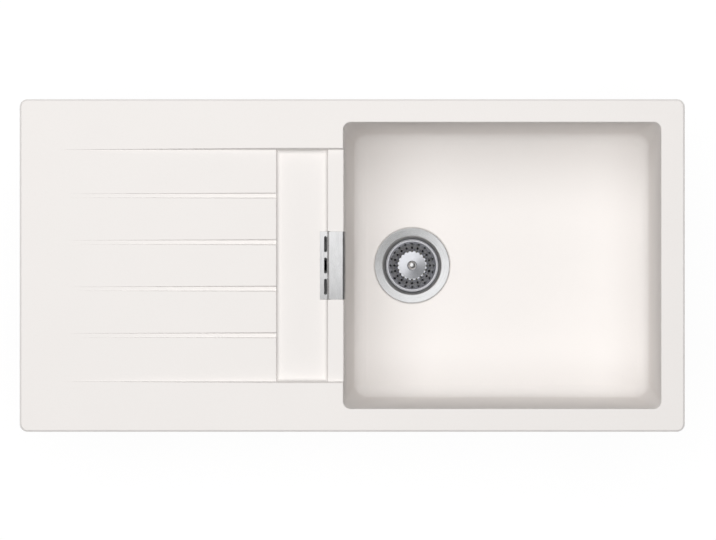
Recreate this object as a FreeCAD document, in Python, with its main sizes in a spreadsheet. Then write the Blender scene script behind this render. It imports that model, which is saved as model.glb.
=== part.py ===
"""Inset kitchen sink with drainboard, in millimetres.

One moulded composite shell holds the bowl, the drainboard and the cross channel between them.
A strainer waste hangs in the bowl's floor, an overflow under the channel drains into it through
a hose, and eight claws hold the shell down on its worktop.

Frame: +X runs from the drainboard to the bowl, +Y to the back edge, +Z up.  The origin is the
middle of the plan, on the worktop's surface, where the rim lies.
"""
import FreeCAD
import Part
import Sketcher
import math
import os

from FreeCAD import Placement, Rotation, Vector

SIZES = (
    # rim and deck
    ("sink_length", 1000, "overall, along X"),
    ("sink_width", 500, "overall, along Y"),
    ("corner_radius", 12, "outer corners in plan"),
    ("rim_rise", 9, "deck above the worktop"),
    ("rim_bevel", 2.5, "bevelled outer edge of the deck"),
    ("core_inset", 14, "from the outer edge to what drops into the worktop's opening"),
    ("core_drop", 5, "slab below the worktop's surface"),
    ("skirt_drop", 14, "skirt below the worktop's surface"),
    ("skirt_thickness", 6, "skirt, level"),
    ("skirt_corner_radius", 8, "skirt's corners in plan, inside"),
    ("seal_inset", 4, "from the outer edge to the sealing strip"),
    ("seal_width", 5, "sealing strip, level"),
    ("seal_height", 1.5, "sealing strip, upright"),
    ("seal_corner_radius", 3, "sealing strip's corners in plan, inside"),
    ("overcut", 1, "how far a through cut passes each face"),
    # bowl
    ("bowl_length", 478, "opening, along X"),
    ("bowl_width", 431, "opening, along Y"),
    ("bowl_end_margin", 35.5, "deck between the opening and the sink's end"),
    ("bowl_depth", 200, "deck to floor"),
    ("bowl_draw", 17, "how far each wall leans in over the depth"),
    ("bowl_wall", 9, "wall, level"),
    ("bowl_corner_radius", 11, "corners of the opening"),
    ("floor_corner_radius", 22, "corners at the floor"),
    ("opening_edge_radius", 2, "softened edges of the opening and of the strip beside it"),
    ("floor_fillet", 19, "floor to wall"),
    ("floor_thickness", 11, "floor at its edge"),
    ("floor_fall", 3, "along the floor, toward the waste's side"),
    # place of the waste
    ("waste_setback", 104, "from the bowl's drainboard side to the waste's axis"),
    ("recess_radius", 58.5, "recess that the waste flange lies in"),
    ("recess_depth", 2.5, "the same recess"),
    ("waste_hole_radius", 45, "hole through the floor"),
    ("land_radius", 66, "flat land under the floor"),
    ("land_rise", 2.5, "the same land, below the floor's underside"),
    # drainboard
    ("drainer_width", 348.5, "along Y, on the board itself"),
    ("drainer_end_margin", 60, "from the sink's end to where the board starts to fall"),
    ("drainer_fall", 7, "at the channel"),
    ("drainer_side_draft", 2.5, "how far each side leans out over that fall"),
    ("channel_length", 77, "cross channel, along X"),
    ("strip_length", 23.5, "land between the channel and the bowl"),
    ("channel_depth", 8, "below the strip"),
    ("channel_wall", 8, "floor of the channel"),
    ("channel_box_inset", 2.25, "from the bowl's inner face to the box under the channel"),
    ("channel_corner_radius", 8, "corners of the box under the channel"),
    ("channel_fillet", 6, "channel floor to its sides"),
    ("channel_edge_radius", 1.5, "softened top edges of the channel"),
    ("groove_pitch", 70, "between neighbouring grooves"),
    ("groove_count", 4, "grooves"),
    ("groove_width", 9, "at the surface, at the channel"),
    ("groove_floor", 5.5, "flat floor of a groove"),
    ("groove_depth", 3.5, "at the channel"),
    ("groove_lead", 12, "from where the board starts to fall to where a groove starts"),
    ("run_over", 20, "how far a cutter passes beyond the end that it fades out at"),
    ("cutter_height", 12, "cutter above its own floor"),
    # underside
    ("rib_thickness", 6, "ribs under the drainboard"),
    ("rib_depth", 9, "ribs below the slab"),
    ("rib_end_margin", 40, "from the sink's end to the ribs"),
    ("long_rib_count", 3, "ribs along X"),
    ("long_rib_pitch", 88, "between them"),
    ("cross_rib_count", 3, "ribs along Y"),
    ("cross_rib_pitch", 90, "between them, and from the long ribs' ends to the first"),
    ("cross_rib_margin", 12.5, "how far they reach beyond the drainboard's sides"),
    # overflow
    ("cover_length", 102, "cover, along Y"),
    ("cover_sheet", 1.2, "cover's thickness"),
    ("cover_foot", 11.4, "cover's foot on the channel floor, along X"),
    ("cover_riser_setback", 1, "from the strip's edge to the inside of the riser"),
    ("cover_rebate_gap", 0.5, "rebate in the strip beyond the cover's bend"),
    ("cover_bend", 2.3, "inner radius of the two upper bends"),
    ("cover_foot_bend", 1, "inner radius at the foot"),
    ("cover_lip_gap", 0.3, "lip to the bowl's wall"),
    ("cover_lip", 14, "how far the lip reaches down the bowl's wall"),
    ("cover_side_gap", 0.6, "rebate beyond the cover's ends"),
    ("cover_slot_count", 3, "slots in the foot, and as many in the lip"),
    ("cover_slot_length", 24, "each slot"),
    ("cover_slot_width", 4.2, "slots in the foot"),
    ("cover_slot_inset", 3, "from the riser to the middle of those slots"),
    ("lip_slot_width", 5, "slots in the lip"),
    ("lip_slot_rise", 0.5, "lip's slots above the channel floor"),
    ("cover_slot_pitch", 32, "between neighbouring slots"),
    ("notch_width", 90, "notch in the strip, along Y"),
    ("drop_length", 88, "overflow hole in the channel, along Y"),
    ("drop_width", 14, "overflow hole in the channel, along X"),
    ("drop_corner_radius", 3, "its corners"),
    ("drop_offset", 1, "from the strip to the middle of the hole, toward the drainboard"),
    ("overflow_gasket_height", 2, "gasket under the channel"),
    ("housing_wall", 2.5, "overflow housing"),
    ("housing_lap", 1.5, "housing's chamber beyond the hole, all round"),
    ("housing_flange", 3.5, "housing's flange beyond its walls"),
    ("housing_height", 30, "overflow housing, without its spigot"),
    ("housing_floor", 3, "its floor"),
    ("spigot_length", 24, "spigot under the housing"),
    ("spigot_radius", 10.3, "both hose spigots, outside"),
    ("spigot_bore", 8.5, "both hose spigots, inside radius"),
    ("stud_radius", 2, "studs under the cover"),
    ("stud_pitch", 32, "between the two studs"),
    ("stud_offset", 2.5, "from the middle of the hole to the studs, along X"),
    ("stud_tail", 5, "stud beyond its nut"),
    ("stud_clearance", 0.2, "stud in its nut and its hole"),
    ("wing_hub_radius", 4.5, "wing nut"),
    ("wing_hub_height", 6, "wing nut"),
    ("wing_span", 22, "wing nut across its wings"),
    ("wing_thickness", 2.4, "each wing"),
    ("wing_height", 9, "wings, from the seat"),
    ("wing_shoulder", 3, "from the seat to the upper corner of a wing's tip"),
    # hose
    ("hose_bore", 10.5, "inside radius"),
    ("hose_valley", 11.9, "radius between ribs, and of the smooth ends"),
    ("hose_crest", 13.6, "radius on a rib"),
    ("hose_rib_pitch", 4, "between neighbouring ribs"),
    ("hose_cuff", 24, "smooth length at each end"),
    ("hose_bend", 50, "radius of the hose's bend"),
    ("hose_top_gap", 8, "from the housing's floor to the hose"),
    ("hose_end_gap", 4, "from the hose to the waste body"),
    ("clamp_sheet", 0.9, "spring clip round the hose"),
    ("clamp_width", 8, "spring clip"),
    ("clamp_inset", 9, "from the hose's end to the middle of the clip"),
    ("clamp_gap", 7, "between the clip's two ears"),
    ("clamp_ear", 6, "how far an ear stands out"),
    # waste, heights measured from the floor of the recess
    ("flange_radius", 57, "waste flange"),
    ("flange_outer_height", 2.3, "its top at the outer edge"),
    ("flange_inner_height", 1.2, "its top at the throat"),
    ("flange_edge_gap", 0.25, "its turned-down edge above the recess"),
    ("cup_sheet", 1, "waste cup's thickness"),
    ("throat_top_radius", 43.6, "throat under the flange"),
    ("throat_foot_radius", 42.8, "throat at the seat"),
    ("throat_depth", 3.2, "where the throat turns into the seat"),
    ("seat_fall", 4.4, "conical seat of the basket, upright"),
    ("cup_top_radius", 38.4, "cup below the seat"),
    ("cup_floor_radius", 33.5, "cup at its floor"),
    ("cup_depth", 46, "floor of the cup"),
    ("window_count", 6, "windows in the cup's floor"),
    ("window_radius", 6.3, "each window"),
    ("window_ring", 18.5, "circle that the windows lie on"),
    ("flange_gasket_inner", 46, "gasket under the flange, inner radius"),
    ("flange_gasket_outer", 55, "the same, outer radius"),
    ("body_gasket_height", 2.5, "gasket under the floor"),
    ("body_flange_radius", 58, "waste body's flange"),
    ("body_flange_height", 3.5, "the same flange"),
    ("body_bore", 40.5, "waste body, inside radius"),
    ("body_wall", 3, "waste body"),
    ("body_depth", 60, "from the recess to where the funnel starts"),
    ("funnel_height", 12, "funnel"),
    ("outlet_radius", 23.9, "outlet thread, outside"),
    ("outlet_bore", 19, "outlet, inside radius"),
    ("outlet_length", 26, "outlet thread"),
    ("crossbar_width", 8, "bar across the body"),
    ("crossbar_height", 10, "the same bar"),
    ("boss_radius", 8, "boss in the middle of the bar"),
    ("boss_height", 14, "the same boss"),
    ("boss_gap", 3, "from the cup to the boss"),
    ("insert_radius", 4.5, "brass insert"),
    ("insert_height", 10, "brass insert"),
    ("screw_radius", 3, "central screw"),
    ("screw_length", 18, "central screw under its head"),
    ("screw_head_radius", 6, "central screw"),
    ("screw_head_height", 3.5, "central screw"),
    ("screw_slot", 1.6, "driver's slot"),
    ("snug", 0.1, "gap in a pressed or threaded fit"),
    ("hose_spigot_depth", 35, "axis of the hose spigot below the recess"),
    ("hose_spigot_reach", 64, "from the waste's axis to the spigot's end"),
    # basket
    ("basket_sheet", 0.8, "basket's thickness"),
    ("basket_rim_radius", 38.9, "middle of the rolled rim"),
    ("basket_roll", 1.25, "radius of the roll itself"),
    ("basket_roll_lap", 0.3, "how far the sieve enters the roll"),
    ("seat_clearance", 0.3, "basket above its seat"),
    ("basket_top_radius", 37.2, "sieve at the rim"),
    ("basket_foot_radius", 21.8, "sieve at the disc"),
    ("basket_depth", 19, "from the rim's middle to the disc"),
    ("disc_slope_outer", 20.4, "foot of the disc's slope"),
    ("disc_slope_inner", 10, "top of the disc's slope"),
    ("disc_rise", 1.2, "height of that slope"),
    ("disc_crown", 0.6, "how much the middle is raised beyond it"),
    ("sieve_hole_radius", 1.7, "each hole"),
    ("sieve_hole_count", 20, "holes in each row"),
    ("sieve_row_inner", 22, "radius of the first row"),
    ("sieve_row_middle", 27, "radius of the second row"),
    ("sieve_row_outer", 32.4, "radius of the third row"),
    ("bush_radius", 4.6, "bush in the disc"),
    ("bush_flange_radius", 6.4, "bush above the disc"),
    ("bush_height", 3.2, "bush without its flange"),
    ("bush_flange_height", 1, "bush"),
    ("post_radius", 2.9, "post"),
    ("post_clearance", 0.3, "post in its bush"),
    ("knob_radius", 7.5, "knob"),
    ("knob_height", 11, "knob"),
    ("knob_top_depth", 4.5, "knob's top below the recess"),
    ("knob_neck_radius", 4.6, "knob's neck"),
    ("knob_neck_length", 5.5, "the same neck"),
    ("knob_crown", 3, "rounding of the knob's top"),
    ("post_grip", 6, "post inside the knob"),
    ("stopper_radius", 30.5, "rubber disc"),
    ("stopper_lip", 3, "thickness of its sealing lip"),
    ("stopper_height", 7.5, "from the cup's floor to the disc's top"),
    ("stopper_web", 2.5, "thickness of the disc inside its lip"),
    ("plate_radius", 24, "stiff plate over the rubber"),
    ("plate_height", 1.5, "the same plate"),
    ("nut_across", 10, "nut on the post, across its flats"),
    ("nut_height", 3.5, "the same nut"),
    ("post_head_radius", 7, "head under the rubber disc"),
    ("post_head_height", 1.2, "the same head"),
    # clips
    ("clip_inset", 20.5, "from the outer edge to a fixing screw's axis"),
    ("clip_spread", 370, "from the middle to the outer screws of the long sides"),
    ("clip_boss_radius", 6.5, "bosses under the slab"),
    ("clip_boss_drop", 20, "bosses below the worktop's surface"),
    ("dowel_radius", 4, "nylon dowel"),
    ("dowel_head", 0.5, "gap above the dowel in its hole"),
    ("clip_screw_radius", 2.5, "fixing screw"),
    ("clip_screw_clearance", 0.3, "fixing screw in dowel and claw"),
    ("clip_screw_length", 43, "fixing screw under its head"),
    ("clip_screw_tip", 15.5, "its tip below the worktop's surface when slack"),
    ("clip_head_radius", 4.6, "fixing screw's head"),
    ("clip_head_height", 3.6, "the same head"),
    ("clip_slot_width", 1.4, "the head's slot"),
    ("claw_width", 12, "claw"),
    ("claw_sheet", 2, "claw's thickness"),
    ("claw_arm", 30, "from the screw to the claw's tip"),
    ("claw_foot", 11, "level part of the claw beyond the screw"),
    ("claw_bite", 6, "level part at the claw's tip"),
    ("claw_rise", 11.2, "from the claw's foot to its tip"),
    ("claw_heel_radius", 5, "rounding of the heel"),
)


class Size:
    """A size with its number now and the expression that ties it to the sheet."""

    def __init__(self, number, text):
        self.number = float(number)
        self.text = text

    @staticmethod
    def of(value):
        if isinstance(value, Size):
            return value
        return Size(value, f"{float(value):.10g}")

    def __add__(self, other):
        other = Size.of(other)
        return Size(self.number + other.number, f"({self.text} + {other.text})")

    def __sub__(self, other):
        other = Size.of(other)
        return Size(self.number - other.number, f"({self.text} - {other.text})")

    def __mul__(self, other):
        other = Size.of(other)
        return Size(self.number * other.number, f"({self.text} * {other.text})")

    def __truediv__(self, other):
        other = Size.of(other)
        return Size(self.number / other.number, f"({self.text} / {other.text})")

    def __neg__(self):
        return Size(-self.number, f"(-{self.text})")

    def root(self):
        return Size(math.sqrt(self.number), f"sqrt({self.text})")

    def angle_of_slope(self):
        return Size(math.degrees(math.atan(self.number)), f"atan({self.text})")


class Sheet:
    """The spreadsheet of driving sizes, read by name."""

    def __init__(self, doc):
        self.page = doc.addObject("Spreadsheet::Sheet", "Sizes")
        for row, (name, number, meaning) in enumerate(SIZES, start=1):
            self.page.set(f"A{row}", name)
            self.page.set(f"B{row}", str(number))
            self.page.set(f"C{row}", meaning)
            self.page.setAlias(f"B{row}", name)
        doc.recompute()
        for name, _, _ in SIZES:
            setattr(self, name, Size(self.page.get(name), f"Sizes.{name}"))


doc = FreeCAD.newDocument("kitchen_sink")
S = Sheet(doc)
nodes = []


# ---------------------------------------------------------------- helpers: bodies and sketches

def bind(thing, prop, value):
    """Tie one property to the sheet."""
    thing.setExpression(prop, Size.of(value).text)


def place(thing, x=0, y=0, z=0, axis_of_turn=Vector(0, 0, 1), turn=0):
    """Turn a sub-part, then put it where the sheet says."""
    thing.Placement = Placement(Vector(), Rotation(axis_of_turn, turn))
    for axis, value in zip("xyz", (x, y, z)):
        bind(thing, f"Placement.Base.{axis}", value)


def new_body(name, several=False):
    body = doc.addObject("PartDesign::Body", name)
    body.Label = name
    if several:
        body.AllowCompound = True
    nodes.append(body)
    return body


def origin_part(body, role):
    return next(part for part in body.Origin.OriginFeatures if part.Role == role)


def new_sketch(body, name, plane="XY_Plane", offset=0):
    """A sketch on one of the body's own planes, moved along that plane's normal."""
    sketch = body.newObject("Sketcher::SketchObject", name)
    sketch.AttachmentSupport = [(origin_part(body, plane), "")]
    sketch.MapMode = "FlatFace"
    bind(sketch, "AttachmentOffset.Base.z", offset)
    return sketch


def tilt_sketch(sketch, axis, slope):
    """Turn a sketch about an axis of its own, by the angle of a slope."""
    angle = slope.angle_of_slope()
    base = sketch.AttachmentOffset.Base
    sketch.AttachmentOffset = Placement(base, Rotation(axis, angle.number))
    bind(sketch, "AttachmentOffset.Rotation.Angle", angle)


def hold(sketch, kind, geometry, value, point=None):
    """Add one measured constraint and tie it to the sheet."""
    value = Size.of(value)
    if point is None:
        constraint = Sketcher.Constraint(kind, geometry, value.number)
    else:
        constraint = Sketcher.Constraint(kind, -1, 1, geometry, point, value.number)
    index = sketch.addConstraint(constraint)
    sketch.setExpression(f"Constraints[{index}]", value.text)


def pin(sketch, geometry, point, x, y):
    """Hold a point at x, y; a plain zero puts it on the axis."""
    for kind, axis, value in (("DistanceX", -2, x), ("DistanceY", -1, y)):
        if isinstance(value, Size):
            hold(sketch, kind, geometry, value, point)
        else:
            sketch.addConstraint(Sketcher.Constraint("PointOnObject", geometry, point, axis))


def rounding(before, corner, after, radius):
    """The arc that rounds a corner: its two ends, its geometry, and whether it turns left."""
    back = (before - corner).normalize()
    ahead = (after - corner).normalize()
    half_angle = back.getAngle(ahead) / 2
    start = corner + back * (radius / math.tan(half_angle))
    end = corner + ahead * (radius / math.tan(half_angle))
    centre = corner + (back + ahead).normalize() * (radius / math.sin(half_angle))
    turns_left = (corner - before).cross(after - corner).z > 0
    first, last = (start, end) if turns_left else (end, start)
    first_angle = math.atan2(first.y - centre.y, first.x - centre.x)
    last_angle = math.atan2(last.y - centre.y, last.x - centre.x)
    if last_angle < first_angle:
        last_angle += 2 * math.pi
    circle_of_arc = Part.Circle(centre, Vector(0, 0, 1), radius)
    return start, end, Part.ArcOfCircle(circle_of_arc, first_angle, last_angle), turns_left


def outline(sketch, corners):
    """A closed outline through corners (x, y) or (x, y, radius of its rounding)."""
    spots = [Vector(Size.of(corner[0]).number, Size.of(corner[1]).number, 0) for corner in corners]
    count = len(corners)
    starts = list(spots)
    ends = list(spots)
    arcs = {}
    for i, corner in enumerate(corners):
        if len(corner) == 3:
            radius = Size.of(corner[2]).number
            found = rounding(spots[i - 1], spots[i], spots[(i + 1) % count], radius)
            starts[i], ends[i] = found[:2]
            arcs[i] = found[2:]
    lines = []
    for i in range(count):
        side = Part.LineSegment(ends[i], starts[(i + 1) % count])
        lines.append(sketch.addGeometry(side, False))
    for i, corner in enumerate(corners):
        before = lines[i - 1]
        after = lines[i]
        if i not in arcs:
            sketch.addConstraint(Sketcher.Constraint("Coincident", before, 2, after, 1))
            pin(sketch, after, 1, corner[0], corner[1])
            continue
        shape, turns_left = arcs[i]
        arc = sketch.addGeometry(shape, False)
        near, far = (1, 2) if turns_left else (2, 1)
        sketch.addConstraint(Sketcher.Constraint("Tangent", before, 2, arc, near))
        sketch.addConstraint(Sketcher.Constraint("Tangent", after, 1, arc, far))
        hold(sketch, "Radius", arc, corner[2])
        sharp = sketch.addGeometry(Part.Point(spots[i]), True)
        sketch.addConstraint(Sketcher.Constraint("PointOnObject", sharp, 1, before))
        sketch.addConstraint(Sketcher.Constraint("PointOnObject", sharp, 1, after))
        pin(sketch, sharp, 1, corner[0], corner[1])


def box_outline(sketch, x_low, x_high, y_low, y_high, radius=None):
    """A rectangle, rounded where a radius is given."""
    corners = [(x_low, y_low), (x_high, y_low), (x_high, y_high), (x_low, y_high)]
    if radius is not None:
        corners = [(x, y, radius) for x, y in corners]
    outline(sketch, corners)


def circle(sketch, x, y, radius):
    centre = Vector(Size.of(x).number, Size.of(y).number, 0)
    ring = sketch.addGeometry(Part.Circle(centre, Vector(0, 0, 1), Size.of(radius).number), False)
    hold(sketch, "Radius", ring, radius)
    pin(sketch, ring, 3, x, y)


# ---------------------------------------------------------------- helpers: features

def grow(body, feature, cuts=False):
    """Recompute, and make sure that the feature added or removed what it should."""
    before = body.Shape.Volume if not body.Shape.isNull() else 0.0
    body.Tip = feature
    doc.recompute()
    change = body.Shape.Volume - before
    if (change >= 0) if cuts else (change <= 0):
        raise RuntimeError(f"{body.Label}: {feature.Name} changes nothing")
    if not body.Shape.isValid():
        raise RuntimeError(f"{body.Label}: {feature.Name} breaks the shape")
    return feature


def pad(body, name, sketch, length, down=False, both_sides=False):
    feature = body.newObject("PartDesign::Pad", name)
    feature.Profile = sketch
    feature.Reversed = down
    feature.Midplane = both_sides
    bind(feature, "Length", length)
    return grow(body, feature)


def pocket(body, name, sketch, length, up=False, both_sides=False):
    """A pocket cuts against its sketch's normal, or along it where up is set."""
    feature = body.newObject("PartDesign::Pocket", name)
    feature.Profile = sketch
    feature.Reversed = up
    feature.Midplane = both_sides
    bind(feature, "Length", length)
    return grow(body, feature, cuts=True)


def revolve(body, name, sketch, cuts=False):
    """A full turn about the sketch's vertical axis."""
    kind = "PartDesign::Groove" if cuts else "PartDesign::Revolution"
    feature = body.newObject(kind, name)
    feature.Profile = sketch
    feature.ReferenceAxis = (sketch, ["V_Axis"])
    feature.Angle = 360
    return grow(body, feature, cuts)


def loft(body, name, sections, cuts=False):
    """Straight-lined walls through sketched sections."""
    kind = "PartDesign::SubtractiveLoft" if cuts else "PartDesign::AdditiveLoft"
    feature = body.newObject(kind, name)
    feature.Profile = sections[0]
    feature.Sections = list(sections[1:])
    feature.Ruled = True
    return grow(body, feature, cuts)


def edges_of(feature, wanted):
    """Names of the edges whose bounding box passes the test."""
    found = []
    for number, edge in enumerate(feature.Shape.Edges, start=1):
        if wanted(edge.BoundBox):
            found.append(f"Edge{number}")
    if not found:
        raise RuntimeError(f"{feature.Name} has none of the wanted edges")
    return found


def at_height(height):
    """A test for edges that lie level at one height."""
    level = Size.of(height).number
    return lambda box: abs(box.ZMin - level) < CLOSE and abs(box.ZMax - level) < CLOSE


def fillet(body, name, feature, wanted, radius):
    rounded = body.newObject("PartDesign::Fillet", name)
    rounded.Base = (feature, edges_of(feature, wanted))
    bind(rounded, "Radius", radius)
    body.Tip = rounded
    doc.recompute()
    return rounded


def chamfer(body, name, feature, wanted, width):
    bevelled = body.newObject("PartDesign::Chamfer", name)
    bevelled.Base = (feature, edges_of(feature, wanted))
    bind(bevelled, "Size", width)
    return grow(body, bevelled, cuts=True)


def first_of(count, pitch):
    """Where the first of a row lies, when the row's middle is at zero."""
    return -(pitch * (Size.of(count) - 1) / 2)


def row(body, name, features, axis, count, pitch):
    """Repeat features along one of the body's own axes."""
    pattern = body.newObject("PartDesign::LinearPattern", name)
    pattern.Originals = features
    pattern.Direction = (origin_part(body, axis), [""])
    bind(pattern, "Occurrences", count)
    bind(pattern, "Length", pitch * (Size.of(count) - 1))
    body.Tip = pattern
    doc.recompute()
    return pattern


def ring_of(body, name, features, count):
    """Repeat features round the body's own Z axis."""
    pattern = body.newObject("PartDesign::PolarPattern", name)
    pattern.Originals = features
    pattern.Axis = (origin_part(body, "Z_Axis"), [""])
    pattern.Angle = 360
    bind(pattern, "Occurrences", count)
    body.Tip = pattern
    doc.recompute()
    return pattern


def turned(name, *profiles):
    """A round piece from closed outlines of (radius, height) about its own Z axis."""
    body = new_body(name)
    for number, corners in enumerate(profiles, start=1):
        sketch = new_sketch(body, f"{name}_profile_{number}", "XZ_Plane")
        outline(sketch, corners)
        revolve(body, f"{name}_turn_{number}", sketch)
    return body


# ---------------------------------------------------------------- places shared by the pieces

half_length = S.sink_length / 2
half_width = S.sink_width / 2
deck = S.rim_rise

bowl_right = half_length - S.bowl_end_margin
bowl_left = bowl_right - S.bowl_length
bowl_half_width = S.bowl_width / 2
bowl_floor = deck - S.bowl_depth
shell_bottom = bowl_floor - S.floor_thickness
land_bottom = shell_bottom - S.land_rise

waste_x = bowl_left + S.waste_setback
waste_z = bowl_floor - S.floor_fall - S.recess_depth

drainer_left = -(half_length - S.drainer_end_margin)
drainer_half_width = S.drainer_width / 2
strip_top = deck - S.drainer_fall
strip_left = bowl_left - S.strip_length
channel_left = strip_left - S.channel_length
channel_floor = strip_top - S.channel_depth
channel_underside = channel_floor - S.channel_wall

drop_x = strip_left - S.drop_offset
drop_half_length = S.drop_length / 2
drop_half_width = S.drop_width / 2
stud_x = drop_x - S.stud_offset
housing_top = channel_underside - S.overflow_gasket_height
housing_bottom = housing_top - S.housing_height

riser_inside = strip_left + S.cover_riser_setback
riser_outside = riser_inside - S.cover_sheet
cover_half_length = S.cover_length / 2

end_clip_x = half_length - S.clip_inset
side_clip_y = half_width - S.clip_inset
clip_head_z = -(S.clip_screw_tip + S.clip_screw_length)

# axis of each fixing screw, and the turn that swings its claw outward from the shell
CLIP_PLACES = (
    (-S.clip_spread, side_clip_y, 0),
    (0, side_clip_y, 0),
    (S.clip_spread, side_clip_y, 0),
    (-end_clip_x, 0, 90),
    (-S.clip_spread, -side_clip_y, 180),
    (0, -side_clip_y, 180),
    (S.clip_spread, -side_clip_y, 180),
    (end_clip_x, 0, 270),
)

SLOT_ROUNDING = 0.49  # share of a slot's width that rounds its ends
CLOSE = 1e-3  # for telling edges apart by their place


# ---------------------------------------------------------------- the moulded shell

def inset_box(sketch, inset, radius):
    """The sink's plan outline, drawn in by an inset."""
    x = half_length - inset
    y = half_width - inset
    box_outline(sketch, -x, x, -y, y, radius)


def bowl_section(body, name, drop, outset):
    """The bowl's outline at one depth below the deck, grown by an outset."""
    lean = S.bowl_draw * drop / S.bowl_depth - outset
    corner_change = (S.floor_corner_radius - S.bowl_corner_radius) * drop / S.bowl_depth
    radius = S.bowl_corner_radius + corner_change + outset
    sketch = new_sketch(body, name, offset=deck - drop)
    side = bowl_half_width - lean
    box_outline(sketch, bowl_left + lean, bowl_right - lean, -side, side, radius)
    return sketch


def add_deck(body):
    """Deck plate with its rim, and the slab that drops into the worktop."""
    sketch = new_sketch(body, "rim_outline")
    inset_box(sketch, Size.of(0), S.corner_radius)
    rim = pad(body, "rim_plate", sketch, S.rim_rise)
    chamfer(body, "rim_edge", rim, at_height(deck), S.rim_bevel)
    sketch = new_sketch(body, "slab_outline")
    inset_box(sketch, S.core_inset, S.skirt_corner_radius + S.skirt_thickness)
    pad(body, "slab", sketch, S.core_drop, down=True)


def add_underside(body):
    """Skirt, screw bosses, ribs and the box under the channel."""
    sketch = new_sketch(body, "skirt_outline")
    inset_box(sketch, S.core_inset, S.skirt_corner_radius + S.skirt_thickness)
    inset_box(sketch, S.core_inset + S.skirt_thickness, S.skirt_corner_radius)
    pad(body, "skirt", sketch, S.skirt_drop, down=True)

    sketch = new_sketch(body, "boss_outline")
    for x, y, _ in CLIP_PLACES:
        circle(sketch, x, y, S.clip_boss_radius)
    pad(body, "screw_bosses", sketch, S.clip_boss_drop, down=True)

    rib_left = S.rib_end_margin - half_length
    half_rib = S.rib_thickness / 2
    sketch = new_sketch(body, "long_rib_outline")
    first = first_of(S.long_rib_count, S.long_rib_pitch)
    box_outline(sketch, rib_left, channel_left, first - half_rib, first + half_rib)
    rib = pad(body, "long_rib", sketch, S.core_drop + S.rib_depth, down=True)
    row(body, "long_ribs", [rib], "Y_Axis", S.long_rib_count, S.long_rib_pitch)

    sketch = new_sketch(body, "cross_rib_outline")
    first = rib_left + S.cross_rib_pitch
    reach = drainer_half_width + S.cross_rib_margin
    box_outline(sketch, first - half_rib, first + half_rib, -reach, reach)
    rib = pad(body, "cross_rib", sketch, S.core_drop + S.rib_depth, down=True)
    row(body, "cross_ribs", [rib], "X_Axis", S.cross_rib_count, S.cross_rib_pitch)

    sketch = new_sketch(body, "channel_box_outline")
    reach = drainer_half_width + S.channel_wall
    inner_end = bowl_left - S.channel_box_inset
    box_outline(sketch, channel_left - S.channel_wall, inner_end, -reach, reach,
                S.channel_corner_radius)
    pad(body, "channel_box", sketch, -channel_underside, down=True)


def add_bowl_shell(body):
    """The bowl's outside, and the land under its waste."""
    top = bowl_section(body, "shell_top", Size.of(0), S.bowl_wall)
    foot = bowl_section(body, "shell_foot", S.bowl_depth + S.floor_thickness, S.bowl_wall)
    shell = loft(body, "bowl_shell", [top, foot])
    fillet(body, "shell_corner", shell, at_height(shell_bottom), S.floor_fillet + S.bowl_wall)
    sketch = new_sketch(body, "land_outline", offset=shell_bottom)
    circle(sketch, waste_x, 0, S.land_radius)
    pad(body, "waste_land", sketch, S.land_rise, down=True)


def cut_bowl(body):
    """The bowl's inside, its falling floor, and the recess and hole of the waste."""
    opening = bowl_section(body, "cavity_top", Size.of(0), Size.of(0))
    floor = bowl_section(body, "cavity_floor", S.bowl_depth, Size.of(0))
    floor_length = S.bowl_length - S.bowl_draw * 2
    slope = S.floor_fall / floor_length
    high_end = bowl_right - S.bowl_draw
    bind(floor, "AttachmentOffset.Base.z", bowl_floor - slope * high_end)
    tilt_sketch(floor, Vector(0, -1, 0), slope)
    cavity = loft(body, "cavity", [opening, floor], cuts=True)

    def round_floor(box):
        low_enough = box.ZMax < bowl_floor.number + CLOSE
        return low_enough and box.ZMin > bowl_floor.number - S.floor_fall.number - CLOSE

    fillet(body, "cavity_corner", cavity, round_floor, S.floor_fillet)

    sketch = new_sketch(body, "recess_outline", offset=bowl_floor)
    circle(sketch, waste_x, 0, S.recess_radius)
    pocket(body, "flange_recess", sketch, bowl_floor - waste_z)
    sketch = new_sketch(body, "waste_hole_outline", offset=bowl_floor)
    circle(sketch, waste_x, 0, S.waste_hole_radius)
    hole = pocket(body, "waste_hole", sketch, bowl_floor - land_bottom + S.overcut)

    def around_opening(box):
        inside = box.XMin > bowl_left.number - CLOSE and box.XMax < bowl_right.number + CLOSE
        return inside and box.YLength < S.bowl_width.number and at_height(deck)(box)

    fillet(body, "opening_edge", hole, around_opening, S.opening_edge_radius)


def leaning_cut(sketch, middle, half_floor, lean, low):
    """Section of a cutter with a flat floor and sides that lean outward."""
    middle = Size.of(middle)
    half_top = half_floor + lean * S.cutter_height
    high = low + S.cutter_height
    corners = [
        (middle - half_floor, low),
        (middle + half_floor, low),
        (middle + half_top, high),
        (middle - half_top, high),
    ]
    outline(sketch, corners)


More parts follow.
